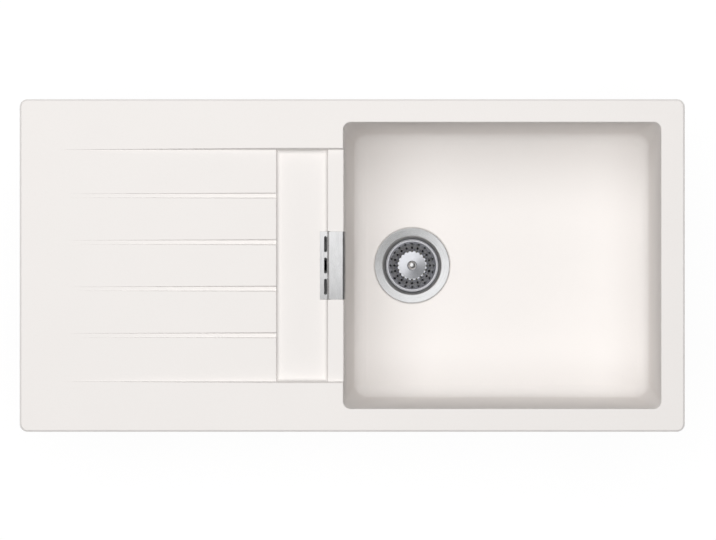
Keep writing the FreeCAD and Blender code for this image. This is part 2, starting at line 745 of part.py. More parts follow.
def cut_drainboard(body):
    """The falling board, the cross channel and the grooves that run into it."""
    run = channel_left - drainer_left
    beyond = bowl_left + S.bowl_wall
    side_lean = S.drainer_side_draft / S.drainer_fall
    sketch = new_sketch(body, "board_section", "YZ_Plane", channel_left)
    tilt_sketch(sketch, Vector(1, 0, 0), S.drainer_fall / run)
    leaning_cut(sketch, 0, drainer_half_width, side_lean, strip_top)
    pocket(body, "falling_board", sketch, run + S.run_over)
    sketch = new_sketch(body, "strip_section", "YZ_Plane", beyond)
    leaning_cut(sketch, 0, drainer_half_width, side_lean, strip_top)
    board = pocket(body, "level_strip", sketch, beyond - channel_left)

    def along_strip(box):
        beside_bowl = box.XMin > bowl_left.number - CLOSE and box.YLength > bowl_half_width.number
        return beside_bowl and at_height(strip_top)(box)

    fillet(body, "strip_edge", board, along_strip, S.opening_edge_radius)

    sketch = new_sketch(body, "channel_outline", offset=strip_top + S.overcut)
    box_outline(sketch, channel_left, strip_left, -drainer_half_width, drainer_half_width)
    channel = pocket(body, "channel", sketch, S.channel_depth + S.overcut)
    floor = fillet(body, "channel_corner", channel, at_height(channel_floor), S.channel_fillet)

    def along_channel(box):
        across = box.XLength < CLOSE and box.YLength > bowl_half_width.number
        return across and box.XMax < strip_left.number + CLOSE and at_height(strip_top)(box)

    fillet(body, "channel_edge", floor, along_channel, S.channel_edge_radius)

    groove_top = deck - S.drainer_fall / run * S.groove_lead
    slope = (groove_top - strip_top + S.groove_depth) / (run - S.groove_lead)
    lean = (S.groove_width - S.groove_floor) / 2 / S.groove_depth
    middle = first_of(S.groove_count, S.groove_pitch)
    sketch = new_sketch(body, "groove_section", "YZ_Plane", channel_left)
    tilt_sketch(sketch, Vector(1, 0, 0), slope)
    leaning_cut(sketch, middle, S.groove_floor / 2, lean, strip_top - S.groove_depth)
    groove = pocket(body, "groove", sketch, run + S.run_over)
    row(body, "grooves", [groove], "Y_Axis", S.groove_count, S.groove_pitch)


def cut_overflow(body):
    """Notch through the strip, rebate for the cover, and the hole through the channel."""
    rebate_left = strip_left - S.channel_fillet - S.overcut
    depth = deck - channel_floor
    sketch = new_sketch(body, "notch_outline", offset=deck)
    half_notch = S.notch_width / 2
    box_outline(sketch, rebate_left, bowl_left + S.bowl_wall, -half_notch, half_notch)
    pocket(body, "notch", sketch, depth)
    sketch = new_sketch(body, "rebate_outline", offset=deck)
    reach = cover_half_length + S.cover_side_gap
    rebate_right = riser_inside + S.cover_bend + S.cover_rebate_gap
    box_outline(sketch, rebate_left, rebate_right, -reach, reach)
    pocket(body, "cover_rebate", sketch, depth)
    sketch = new_sketch(body, "drop_outline", offset=channel_floor + S.overcut)
    box_outline(sketch, drop_x - drop_half_width, drop_x + drop_half_width,
                -drop_half_length, drop_half_length, S.drop_corner_radius)
    pocket(body, "overflow_drop", sketch, S.channel_wall + S.overcut * 2)


def cut_underside(body):
    """Groove for the sealing strip, and the holes in the bosses."""
    sketch = new_sketch(body, "seal_groove_outline")
    inset_box(sketch, S.seal_inset, S.seal_corner_radius + S.seal_width)
    inset_box(sketch, S.seal_inset + S.seal_width, S.seal_corner_radius)
    pocket(body, "seal_groove", sketch, S.seal_height, up=True)
    sketch = new_sketch(body, "boss_hole_outline", offset=-S.clip_boss_drop)
    for x, y, _ in CLIP_PLACES:
        circle(sketch, x, y, S.dowel_radius + S.snug)
    pocket(body, "boss_holes", sketch, S.clip_boss_drop, up=True)


def make_sink_body():
    body = new_body("sink_body")
    add_deck(body)
    add_bowl_shell(body)
    add_underside(body)
    cut_bowl(body)
    cut_drainboard(body)
    cut_overflow(body)
    cut_underside(body)


def make_rim_seal():
    body = new_body("rim_seal")
    sketch = new_sketch(body, "seal_outline")
    inset_box(sketch, S.seal_inset, S.seal_corner_radius + S.seal_width)
    inset_box(sketch, S.seal_inset + S.seal_width, S.seal_corner_radius)
    pad(body, "seal_strip", sketch, S.seal_height)


# ---------------------------------------------------------------- overflow

def lip_inside(height):
    """The lip follows the bowl's leaning wall at this height."""
    return bowl_left + S.bowl_draw * (deck - height) / S.bowl_depth + S.cover_lip_gap


def slot_rows(body, name, sketch_plane, offset, across, width, length):
    """Slots side by side along the cover."""
    sketch = new_sketch(body, f"{name}_outline", sketch_plane, offset)
    half_width_of_slot = width / 2
    half_length_of_slot = S.cover_slot_length / 2
    first = first_of(S.cover_slot_count, S.cover_slot_pitch)
    level = (across - half_width_of_slot, across + half_width_of_slot)
    along = (first - half_length_of_slot, first + half_length_of_slot)
    sides = level + along if sketch_plane == "XY_Plane" else along + level
    box_outline(sketch, *sides, width * SLOT_ROUNDING)
    slot = pocket(body, name, sketch, length)
    row(body, f"{name}s", [slot], "Y_Axis", S.cover_slot_count, S.cover_slot_pitch)


def make_overflow_cover():
    """Sheet saddle: foot on the channel floor, riser, top on the strip, lip into the bowl."""
    body = new_body("overflow_cover")
    sketch = new_sketch(body, "cover_profile", "XZ_Plane")
    foot_left = riser_outside - S.cover_foot
    foot_top = channel_floor + S.cover_sheet
    top = strip_top + S.cover_sheet
    lip_end = top - S.cover_lip
    outer_bend = S.cover_bend + S.cover_sheet
    corners = [
        (foot_left, channel_floor),
        (riser_inside, channel_floor, S.cover_foot_bend + S.cover_sheet),
        (riser_inside, strip_top, S.cover_bend),
        (lip_inside(strip_top), strip_top, S.cover_bend),
        (lip_inside(lip_end), lip_end),
        (lip_inside(lip_end) + S.cover_sheet, lip_end),
        (lip_inside(top) + S.cover_sheet, top, outer_bend),
        (riser_outside, top, outer_bend),
        (riser_outside, foot_top, S.cover_foot_bend),
        (foot_left, foot_top),
    ]
    outline(sketch, corners)
    pad(body, "cover_sheet_metal", sketch, S.cover_length, both_sides=True)
    slot_rows(body, "foot_slot", "XY_Plane", foot_top + S.overcut,
              riser_outside - S.cover_slot_inset, S.cover_slot_width,
              S.cover_sheet + S.overcut * 2)
    slot_rows(body, "lip_slot", "YZ_Plane", bowl_left + S.bowl_wall,
              channel_floor + S.lip_slot_rise + S.lip_slot_width / 2, S.lip_slot_width,
              S.bowl_wall)


def drop_box(sketch, margin, radius):
    """The overflow hole's outline, grown by a margin."""
    x = drop_half_width + margin
    y = drop_half_length + margin
    box_outline(sketch, drop_x - x, drop_x + x, -y, y, radius)


def make_overflow_studs():
    body = new_body("overflow_studs", several=True)
    sketch = new_sketch(body, "stud_outline", offset=channel_floor)
    for side in (-1, 1):
        circle(sketch, stud_x, S.stud_pitch / 2 * side, S.stud_radius)
    length = channel_floor - housing_bottom + S.wing_hub_height + S.stud_tail
    pad(body, "studs", sketch, length, down=True)


def make_overflow_gasket():
    body = new_body("overflow_gasket")
    sketch = new_sketch(body, "overflow_gasket_outline", offset=channel_underside)
    flange = S.housing_lap + S.housing_wall + S.housing_flange
    drop_box(sketch, flange, S.drop_corner_radius + flange)
    drop_box(sketch, S.housing_lap, S.drop_corner_radius + S.housing_lap)
    pad(body, "overflow_gasket_ring", sketch, S.overflow_gasket_height, down=True)


def make_overflow_housing():
    """Flanged chamber under the channel with a spigot for the hose."""
    body = new_body("overflow_housing")
    flange = S.housing_lap + S.housing_wall + S.housing_flange
    sketch = new_sketch(body, "housing_flange_outline", offset=housing_top)
    drop_box(sketch, flange, S.drop_corner_radius + flange)
    pad(body, "housing_flange_plate", sketch, S.housing_wall, down=True)
    sketch = new_sketch(body, "housing_outline", offset=housing_top)
    wall = S.housing_lap + S.housing_wall
    drop_box(sketch, wall, S.drop_corner_radius + wall)
    pad(body, "housing_box", sketch, S.housing_height, down=True)
    sketch = new_sketch(body, "spigot_outline", offset=housing_bottom)
    circle(sketch, drop_x, 0, S.spigot_radius)
    pad(body, "housing_spigot", sketch, S.spigot_length, down=True)
    sketch = new_sketch(body, "chamber_outline", offset=housing_top)
    drop_box(sketch, S.housing_lap, S.drop_corner_radius + S.housing_lap)
    pocket(body, "chamber", sketch, S.housing_height - S.housing_floor)
    sketch = new_sketch(body, "spigot_bore_outline", offset=housing_top)
    circle(sketch, drop_x, 0, S.spigot_bore)
    for side in (-1, 1):
        circle(sketch, stud_x, S.stud_pitch / 2 * side, S.stud_radius + S.stud_clearance)
    pocket(body, "spigot_bore", sketch, S.housing_height + S.spigot_length + S.overcut)


def make_overflow_nuts():
    """Two wing nuts, the first on its own axis and the second a stud's pitch away."""
    body = new_body("overflow_nuts", several=True)
    sketch = new_sketch(body, "hub_outline")
    circle(sketch, 0, 0, S.wing_hub_radius)
    hub = pad(body, "hub", sketch, S.wing_hub_height, down=True)
    sketch = new_sketch(body, "wing_profile", "XZ_Plane")
    tip = S.wing_span / 2
    root = S.wing_hub_radius
    seat = S.overcut
    corners = [
        (-tip, -S.wing_height),
        (-root, -S.wing_hub_height),
        (root, -S.wing_hub_height),
        (tip, -S.wing_height),
        (tip, -S.wing_shoulder),
        (root, -seat),
        (-root, -seat),
        (-tip, -S.wing_shoulder),
    ]
    outline(sketch, corners)
    wings = pad(body, "wings", sketch, S.wing_thickness, both_sides=True)
    sketch = new_sketch(body, "nut_bore_outline", offset=S.overcut)
    circle(sketch, 0, 0, S.stud_radius + S.snug)
    bore = pocket(body, "nut_bore", sketch, S.wing_hub_height + S.overcut * 2)
    row(body, "both_nuts", [hub, wings, bore], "Y_Axis", 2, S.stud_pitch)
    place(body, stud_x, -(S.stud_pitch / 2), housing_bottom)


# ---------------------------------------------------------------- overflow hose

hose_top_z = housing_bottom - S.hose_top_gap
hose_low_z = waste_z - S.hose_spigot_depth
hose_end_x = waste_x - S.body_bore - S.body_wall - S.hose_end_gap


class HosePath:
    """Straight down from the housing, round one bend, and level to the waste body."""

    def __init__(self):
        self.start = Vector(drop_x.number, 0, hose_top_z.number)
        self.bend = S.hose_bend.number
        self.drop = hose_top_z.number - hose_low_z.number - self.bend
        self.arc = self.bend * math.pi / 2
        self.run = hose_end_x.number - drop_x.number - self.bend
        self.length = self.drop + self.arc + self.run

    def at(self, distance):
        """Place and heading, a given way along the path."""
        if distance <= self.drop:
            return self.start - Vector(0, 0, distance), Vector(0, 0, -1)
        centre = self.start + Vector(self.bend, 0, -self.drop)
        if distance >= self.drop + self.arc:
            past = distance - self.drop - self.arc
            return centre + Vector(past, 0, -self.bend), Vector(1, 0, 0)
        angle = (distance - self.drop) / self.bend
        spoke = Vector(-math.cos(angle), 0, -math.sin(angle))
        return centre + spoke * self.bend, Vector(math.sin(angle), 0, -math.cos(angle))

    def ring(self, distance, radius):
        """A circle round the path, its start always on the +Y side."""
        spot, heading = self.at(distance)
        hoop = Part.Circle(spot, heading, radius)
        hoop.XAxis = Vector(0, 1, 0)
        return Part.Wire([hoop.toShape()])


# ends of a rib's foot and of its crest, as shares of the pitch
RIB_FOOT = (0.1, 0.9)
RIB_TOP = (0.3, 0.7)


def hose_rings(path):
    """Circles of the hose's outside: smooth, then four for each rib, then smooth."""
    valley = S.hose_valley.number
    crest = S.hose_crest.number
    pitch = S.hose_rib_pitch.number
    ribbed = path.length - 2 * S.hose_cuff.number
    ribs = int(ribbed / pitch)
    first = (path.length - ribs * pitch) / 2
    rib_rings = (
        (RIB_FOOT[0], valley),
        (RIB_TOP[0], crest),
        (RIB_TOP[1], crest),
        (RIB_FOOT[1], valley),
    )
    rings = [path.ring(0, valley)]
    for rib in range(ribs):
        start = first + rib * pitch
        for share, radius in rib_rings:
            rings.append(path.ring(start + share * pitch, radius))
    rings.append(path.ring(path.length, valley))
    print(f"hose: {ribs} ribs on {path.length:.1f} mm")
    return rings


def make_overflow_hose():
    path = HosePath()
    outside = Part.makeLoft(hose_rings(path), True, True)
    bend_start, _ = path.at(path.drop)
    bend_middle, _ = path.at(path.drop + path.arc / 2)
    bend_end, _ = path.at(path.drop + path.arc)
    finish, _ = path.at(path.length)
    route = Part.Wire([
        Part.LineSegment(path.start, bend_start).toShape(),
        Part.Arc(bend_start, bend_middle, bend_end).toShape(),
        Part.LineSegment(bend_end, finish).toShape(),
    ])
    bore = route.makePipeShell([path.ring(0, S.hose_bore.number)], True, False)
    hose = doc.addObject("Part::Feature", "overflow_hose")
    hose.Label = "overflow_hose"
    hose.Shape = outside.cut(bore)
    hose.Placement = Placement()
    nodes.append(hose)


def make_hose_clamp(name):
    """Open spring clip with two ears, about its own Z axis."""
    body = new_body(name)
    inside = S.hose_valley + S.snug
    outside = inside + S.clamp_sheet
    half_gap = S.clamp_gap / 2
    sketch = new_sketch(body, f"{name}_ring")
    circle(sketch, 0, 0, outside)
    circle(sketch, 0, 0, inside)
    pad(body, f"{name}_band", sketch, S.clamp_width, both_sides=True)
    sketch = new_sketch(body, f"{name}_gap")
    box_outline(sketch, -(outside + S.clamp_ear), -S.clamp_ear, -half_gap, half_gap)
    pocket(body, f"{name}_opening", sketch, S.clamp_width + S.overcut, both_sides=True)
    sketch = new_sketch(body, f"{name}_ears")
    for low in (-half_gap - S.clamp_sheet, half_gap):
        box_outline(sketch, -(outside + S.clamp_ear), -(inside - S.snug), low, low + S.clamp_sheet)
    pad(body, f"{name}_tabs", sketch, S.clamp_width, both_sides=True)
    return body


def make_hose_clamps():
    upper = make_hose_clamp("hose_clamp_upper")
    place(upper, drop_x, 0, hose_top_z - S.clamp_inset)
    lower = make_hose_clamp("hose_clamp_lower")
    place(lower, hose_end_x - S.clamp_inset, 0, hose_low_z, Vector(0, 1, 0), -90)


# ---------------------------------------------------------------- waste

def seat_waste(body):
    """Waste pieces are drawn about their own axis, from the floor of the recess."""
    place(body, waste_x, 0, waste_z)
    return body


def dish(radius):
    """Height of the flange's top at one radius; it falls toward the throat."""
    fall = S.flange_outer_height - S.flange_inner_height
    share = (radius - S.throat_top_radius) / (S.flange_radius - S.throat_top_radius)
    return S.flange_inner_height + fall * share


seat_foot_z = -S.throat_depth - S.seat_fall


def make_flange_gasket():
    inner = S.flange_gasket_inner
    outer = S.flange_gasket_outer
    profile = [
        (inner, 0),
        (outer, 0),
        (outer, dish(outer) - S.cup_sheet),
        (inner, dish(inner) - S.cup_sheet),
    ]
    seat_waste(turned("flange_gasket", profile))


def make_waste_cup():
    """Sheet flange, throat, shoulder and cup; the floor has a ring of round windows."""
    sheet = S.cup_sheet
    bend = sheet
    profile = [
        (S.flange_radius, S.flange_edge_gap),
        (S.flange_radius, S.flange_outer_height, bend),
        (S.throat_top_radius, S.flange_inner_height, bend * 2),
        (S.throat_foot_radius, -S.throat_depth, bend),
        (S.cup_top_radius, seat_foot_z, bend * 2),
        (S.cup_floor_radius, -S.cup_depth, bend * 2),
        (S.screw_radius + S.snug, -S.cup_depth),
        (S.screw_radius + S.snug, -S.cup_depth - sheet),
        (S.cup_floor_radius + sheet, -S.cup_depth - sheet, bend * 3),
        (S.cup_top_radius + sheet, seat_foot_z - sheet / 2, bend),
        (S.throat_foot_radius + sheet, -S.throat_depth - sheet / 2, bend * 2),
        (S.throat_top_radius + sheet, dish(S.throat_top_radius + sheet) - sheet, bend),
        (S.flange_radius - sheet, dish(S.flange_radius - sheet) - sheet),
        (S.flange_radius - sheet, S.flange_edge_gap),
    ]
    body = turned("waste_cup", profile)
    sketch = new_sketch(body, "window_outline", offset=-S.cup_depth + S.overcut)
    circle(sketch, S.window_ring, 0, S.window_radius)
    window = pocket(body, "window", sketch, sheet + S.overcut * 2)
    ring_of(body, "windows", [window], S.window_count)
    seat_waste(body)


def make_body_gasket():
    seat = land_bottom - waste_z
    profile = [
        (S.waste_hole_radius + S.overcut, seat - S.body_gasket_height),
        (S.flange_radius, seat - S.body_gasket_height),
        (S.flange_radius, seat),
        (S.waste_hole_radius + S.overcut, seat),
    ]
    seat_waste(turned("body_gasket", profile))


def make_waste_body():
    """Drain body with a funnel, an outlet, a bar for the screw and a hose spigot."""
    top = land_bottom - waste_z - S.body_gasket_height
    outside = S.body_bore + S.body_wall
    funnel_top = -S.body_depth
    funnel_foot = funnel_top - S.funnel_height
    profile = [
        (S.body_bore, top),
        (S.body_bore, funnel_top + S.body_wall),
        (S.outlet_bore, funnel_foot + S.body_wall),
        (S.outlet_bore, funnel_foot - S.outlet_length),
        (S.outlet_radius, funnel_foot - S.outlet_length),
        (S.outlet_radius, funnel_foot),
        (outside, funnel_top),
        (outside, top - S.body_flange_height),
        (S.body_flange_radius, top - S.body_flange_height),
        (S.body_flange_radius, top),
    ]
    body = turned("waste_body", profile)
    boss_top = -S.cup_depth - S.cup_sheet - S.boss_gap
    sketch = new_sketch(body, "crossbar_outline", offset=boss_top)
    reach = S.body_bore + S.body_wall / 2
    half_bar = S.crossbar_width / 2
    box_outline(sketch, -half_bar, half_bar, -reach, reach)
    pad(body, "crossbar", sketch, S.crossbar_height, down=True)
    sketch = new_sketch(body, "boss_circle", offset=boss_top)
    circle(sketch, 0, 0, S.boss_radius)
    pad(body, "boss", sketch, S.boss_height, down=True)
    sketch = new_sketch(body, "insert_hole_circle", offset=boss_top)
    circle(sketch, 0, 0, S.insert_radius + S.snug)
    pocket(body, "insert_hole", sketch, S.insert_height)
    sketch = new_sketch(body, "screw_hole_circle", offset=boss_top)
    circle(sketch, 0, 0, S.screw_radius + S.snug)
    pocket(body, "screw_hole", sketch, S.boss_height + S.overcut)
    sketch = new_sketch(body, "side_spigot_outline", "YZ_Plane", -S.hose_spigot_reach)
    circle(sketch, 0, -S.hose_spigot_depth, S.spigot_radius)
    pad(body, "side_spigot", sketch, S.hose_spigot_reach - S.body_bore - S.body_wall / 2)
    sketch = new_sketch(body, "side_bore_outline", "YZ_Plane", -S.body_bore + S.body_wall)
    circle(sketch, 0, -S.hose_spigot_depth, S.spigot_bore)
    pocket(body, "side_bore", sketch, S.hose_spigot_reach)
    seat_waste(body)


def make_waste_insert():
    boss_top = -S.cup_depth - S.cup_sheet - S.boss_gap
    profile = [
        (S.screw_radius + S.snug, boss_top - S.insert_height),
        (S.insert_radius, boss_top - S.insert_height),
        (S.insert_radius, boss_top),
        (S.screw_radius + S.snug, boss_top),
    ]
    seat_waste(turned("waste_insert", profile))


def cut_driver_slot(body, name, top, width, radius, up):
    """A slot across a screw's head, as deep as it is wide."""
    sketch = new_sketch(body, f"{name}_slot_outline", offset=top)
    reach = radius + S.overcut
    box_outline(sketch, -reach, reach, -(width / 2), width / 2)
    pocket(body, f"{name}_slot", sketch, width, up=up)


def make_waste_screw():
    seat = -S.cup_depth
    profile = [
        (0, seat - S.screw_length),
        (S.screw_radius, seat - S.screw_length),
        (S.screw_radius, seat),
        (S.screw_head_radius, seat),
        (S.screw_head_radius, seat + S.screw_head_height, S.overcut),
        (0, seat + S.screw_head_height),
    ]
    body = turned("waste_screw", profile)
    cut_driver_slot(body, "waste_screw", seat + S.screw_head_height, S.screw_slot,
                    S.screw_head_radius, up=False)
    seat_waste(body)


# ---------------------------------------------------------------- strainer basket and post

# the rolled rim lies on the conical seat: its middle keeps this distance from the cone
roll_to_seat = S.basket_roll + S.seat_clearance
seat_length = (S.throat_foot_radius - S.cup_top_radius) / S.seat_fall
seat_slant = (seat_length * seat_length + 1).root()
roll_above_cone = roll_to_seat * seat_slant / seat_length
cone_under_roll = seat_foot_z + (S.basket_rim_radius - S.cup_top_radius) / seat_length
basket_rim_z = cone_under_roll + roll_above_cone
disc_z = basket_rim_z - S.basket_depth
disc_middle_z = disc_z + S.disc_rise + S.disc_crown
stopper_top_z = -S.cup_depth + S.stopper_height
plate_top_z = stopper_top_z + S.plate_height
knob_top_z = -S.knob_top_depth
knob_foot_z = knob_top_z - S.knob_height


def make_basket_strainer():
    """Rolled rim, cone with three rows of holes, and a stepped, raised disc."""
    sheet = S.basket_sheet
    rim = S.basket_rim_radius
    roll = S.basket_roll
    lap = S.basket_roll_lap
    sieve = [
        (rim - roll + lap, basket_rim_z + sheet / 2),
        (S.basket_top_radius - sheet, basket_rim_z + sheet / 2),
        (S.basket_foot_radius, disc_z + sheet),
        (S.disc_slope_outer, disc_z + sheet),
        (S.disc_slope_inner, disc_z + sheet + S.disc_rise),
        (S.bush_radius + S.snug, disc_middle_z + sheet),
        (S.bush_radius + S.snug, disc_middle_z),
        (S.disc_slope_inner, disc_z + S.disc_rise),
        (S.disc_slope_outer, disc_z),
        (S.basket_foot_radius + sheet / 2, disc_z),
        (S.basket_top_radius, basket_rim_z - sheet / 2),
        (rim - roll + lap, basket_rim_z - sheet / 2),
    ]
    body = turned("basket_strainer", sieve)
    sketch = new_sketch(body, "rim_roll_section", "XZ_Plane")
    circle(sketch, rim, basket_rim_z, roll)
    revolve(body, "rim_roll", sketch)
    sketch = new_sketch(body, "sieve_hole_outline", offset=disc_z - S.overcut)
    for radius in (S.sieve_row_inner, S.sieve_row_middle, S.sieve_row_outer):
        circle(sketch, radius, 0, S.sieve_hole_radius)
    holes = pocket(body, "sieve_holes", sketch, S.basket_depth, up=True)
    ring_of(body, "sieve", [holes], S.sieve_hole_count)
    seat_waste(body)


def make_post_bush():
    top = disc_middle_z + S.basket_sheet
    bore = S.post_radius + S.post_clearance
    profile = [
        (bore, top - S.bush_height),
        (S.bush_radius, top - S.bush_height),
        (S.bush_radius, top),
        (S.bush_flange_radius, top),
        (S.bush_flange_radius, top + S.bush_flange_height),
        (bore, top + S.bush_flange_height),
    ]
    seat_waste(turned("post_bush", profile))


def make_post_rod():
    head_top = stopper_top_z - S.stopper_web
    profile = [
        (0, head_top - S.post_head_height),
        (S.post_head_radius, head_top - S.post_head_height),
        (S.post_head_radius, head_top),
        (S.post_radius, head_top),
        (S.post_radius, knob_foot_z + S.post_grip),
        (0, knob_foot_z + S.post_grip),
    ]
    seat_waste(turned("post_rod", profile))


def make_post_knob():
    grip_top = knob_foot_z + S.post_grip
    neck_top = knob_foot_z + S.knob_neck_length
    profile = [
        (0, grip_top),
        (S.post_radius + S.snug, grip_top),
        (S.post_radius + S.snug, knob_foot_z),
        (S.knob_neck_radius, knob_foot_z),
        (S.knob_neck_radius, neck_top - S.overcut, S.overcut),
        (S.knob_radius, neck_top + S.overcut, S.overcut),
        (S.knob_radius, knob_top_z, S.knob_crown),
        (0, knob_top_z),
    ]
    seat_waste(turned("post_knob", profile))


def make_stopper():
    """Rubber disc with a sealing lip, the plate over it and the nut that holds both."""
    floor = -S.cup_depth
    bore = S.post_radius + S.snug
    web_foot = stopper_top_z - S.stopper_web
    lip_inner = S.stopper_radius - S.stopper_lip
    rubber = [
        (bore, web_foot),
        (lip_inner, web_foot),
        (lip_inner, floor),
        (S.stopper_radius, floor),
        (S.stopper_radius, stopper_top_z, S.overcut),
        (bore, stopper_top_z),
    ]
    seat_waste(turned("stopper_disc", rubber))
    plate = [
        (bore, stopper_top_z),
        (S.plate_radius, stopper_top_z),
        (S.plate_radius, plate_top_z),
        (bore, plate_top_z),
    ]
    seat_waste(turned("stopper_plate", plate))

    body = new_body("stopper_nut")
    sketch = new_sketch(body, "nut_outline", offset=plate_top_z)
    flat = S.nut_across / 2
    point = S.nut_across / math.sqrt(3)
    corners = [
        (point, 0),
        (point / 2, flat),
        (-(point / 2), flat),
        (-point, 0),
        (-(point / 2), -flat),
        (point / 2, -flat),
    ]
    outline(sketch, corners)
    circle(sketch, 0, 0, bore)
    pad(body, "hexagon", sketch, S.nut_height)
    seat_waste(body)


# ---------------------------------------------------------------- fixing clips

def make_clip_dowels():
    body = new_body("clip_dowels", several=True)
    sketch = new_sketch(body, "dowel_outline", offset=-S.dowel_head)
    bore = S.clip_screw_radius + S.clip_screw_clearance
    for x, y, _ in CLIP_PLACES:
        circle(sketch, x, y, S.dowel_radius)
        circle(sketch, x, y, bore)
    pad(body, "dowels", sketch, S.clip_boss_drop - S.dowel_head, down=True)


def make_clip_screw(name, x, y, turn):
    """Slotted screw, drawn from the face that carries its claw."""
    profile = [
        (0, -S.clip_head_height),
        (S.clip_head_radius, -S.clip_head_height, S.overcut),
        (S.clip_head_radius, 0),
        (S.clip_screw_radius, 0),
        (S.clip_screw_radius, S.clip_screw_length),
        (0, S.clip_screw_length),
    ]
    body = turned(name, profile)
    cut_driver_slot(body, name, -S.clip_head_height, S.clip_slot_width,
                    S.clip_head_radius, up=True)
    place(body, x, y, clip_head_z, turn=turn)


def make_clip_claw(name, x, y, turn):
    """Cranked steel strip: heel round the screw, arm rising to the tip that bites."""
    body = new_body(name)
    heel = S.claw_width / 2
    crank = S.claw_arm - S.claw_bite - S.claw_foot
    slant = (crank * crank + S.claw_rise * S.claw_rise).root()
    shift = S.claw_sheet * (slant - crank) / S.claw_rise
    sketch = new_sketch(body, f"{name}_profile", "XZ_Plane")
    corners = [
        (-heel, 0),
        (S.claw_foot, 0),
        (S.claw_arm - S.claw_bite, S.claw_rise),
        (S.claw_arm, S.claw_rise),
        (S.claw_arm, S.claw_rise + S.claw_sheet),
        (S.claw_arm - S.claw_bite - shift, S.claw_rise + S.claw_sheet),
        (S.claw_foot - shift, S.claw_sheet),
        (-heel, S.claw_sheet),
    ]
    outline(sketch, corners)
    strip = pad(body, f"{name}_strip", sketch, S.claw_width, both_sides=True)

    def heel_corners(box):
        return box.XMax < -heel.number + CLOSE and box.YLength < CLOSE

    fillet(body, f"{name}_heel", strip, heel_corners, S.claw_heel_radius)
    sketch = new_sketch(body, f"{name}_hole_outline", offset=S.claw_sheet + S.overcut)
    circle(sketch, 0, 0, S.clip_screw_radius + S.clip_screw_clearance)
    pocket(body, f"{name}_hole", sketch, S.claw_sheet + S.overcut * 2)
    place(body, x, y, clip_head_z, turn=turn)


def make_clips():
    make_clip_dowels()
    for number, (x, y, turn) in enumerate(CLIP_PLACES, start=1):
        make_clip_screw(f"clip_screw_{number}", x, y, turn)
        make_clip_claw(f"clip_claw_{number}", x, y, turn)


# ---------------------------------------------------------------- build, check and write

def make_everything():
    make_sink_body()
    make_rim_seal()
    make_overflow_cover()
    make_overflow_studs()
    make_overflow_gasket()
    make_overflow_housing()
    make_overflow_nuts()
    make_overflow_hose()
    make_hose_clamps()
    make_flange_gasket()
    make_waste_cup()
    make_body_gasket()
    make_waste_body()
    make_waste_insert()
    make_waste_screw()
    make_basket_strainer()
    make_post_bush()
    make_post_rod()
    make_post_knob()
    make_stopper()
    make_clips()


def write_parts():
    """Stop on anything that failed; otherwise write one file for each sub-part."""
    doc.recompute()
    for thing in doc.Objects:
        if "Invalid" in thing.State or "Error" in thing.State:
            raise RuntimeError(f"{thing.Name} failed: {thing.State}")
    for node in nodes:
        if node.Shape.isNull() or not node.Shape.isValid():
            raise RuntimeError(f"{node.Label} has no valid shape")
    os.makedirs("parts", exist_ok=True)
    for node in nodes:
        node.Shape.exportStep(os.path.join("parts", f"{node.Label}.step"))
        solids = len(node.Shape.Solids)
        print(f"{node.Label}: {solids} solid(s), {node.Shape.Volume / 1000:.2f} cm3")


make_everything()
write_parts()
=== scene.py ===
"""The look of a one-bowl composite kitchen sink with a drainboard, seen from straight above.

Every size is in metres, in the frame's own axes: +X points from the drainboard to the bowl,
+Y to the far long side and +Z up, with the worktop at height 0. The scales of noise are
waves for each metre.
"""

import math

import bmesh
import bpy
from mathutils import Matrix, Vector


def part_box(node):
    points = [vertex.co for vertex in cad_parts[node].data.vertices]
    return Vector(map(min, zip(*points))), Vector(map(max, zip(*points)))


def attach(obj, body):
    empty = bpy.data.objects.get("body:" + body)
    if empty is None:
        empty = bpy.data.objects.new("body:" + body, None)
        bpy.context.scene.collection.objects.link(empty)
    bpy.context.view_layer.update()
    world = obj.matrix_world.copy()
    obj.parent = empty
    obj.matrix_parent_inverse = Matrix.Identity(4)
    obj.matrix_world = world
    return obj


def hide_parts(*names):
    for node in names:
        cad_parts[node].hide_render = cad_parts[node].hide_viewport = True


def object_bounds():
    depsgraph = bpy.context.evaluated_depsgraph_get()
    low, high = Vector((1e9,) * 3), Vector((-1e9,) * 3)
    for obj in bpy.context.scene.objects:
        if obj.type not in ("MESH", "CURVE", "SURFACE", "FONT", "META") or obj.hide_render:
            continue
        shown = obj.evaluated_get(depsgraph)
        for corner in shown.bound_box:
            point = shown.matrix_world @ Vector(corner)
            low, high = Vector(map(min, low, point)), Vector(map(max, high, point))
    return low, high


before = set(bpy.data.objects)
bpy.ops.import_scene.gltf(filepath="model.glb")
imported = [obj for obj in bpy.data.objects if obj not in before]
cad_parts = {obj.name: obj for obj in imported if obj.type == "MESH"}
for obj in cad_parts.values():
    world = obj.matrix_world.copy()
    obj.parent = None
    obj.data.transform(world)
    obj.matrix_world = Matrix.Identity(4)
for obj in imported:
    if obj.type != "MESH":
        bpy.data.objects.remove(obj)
cad_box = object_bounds()
MM = 0.001


# ---------------------------------------------------------------- node helpers

# most of a noise texture's values lie between these
NOISE_LOW, NOISE_HIGH = 0.3, 0.7


def put(tree, socket, value):
    if isinstance(value, bpy.types.NodeSocket):
        tree.links.new(value, socket)
    else:
        socket.default_value = value


def add_node(tree, kind, sockets=None, **settings):
    node = tree.nodes.new(kind)
    for name, value in settings.items():
        setattr(node, name, value)
    for name, value in (sockets or {}).items():
        put(tree, node.inputs[name], value)
    return node


def rgb(red, green, blue):
    return (red, green, blue, 1.0)


WHITE = rgb(1, 1, 1)


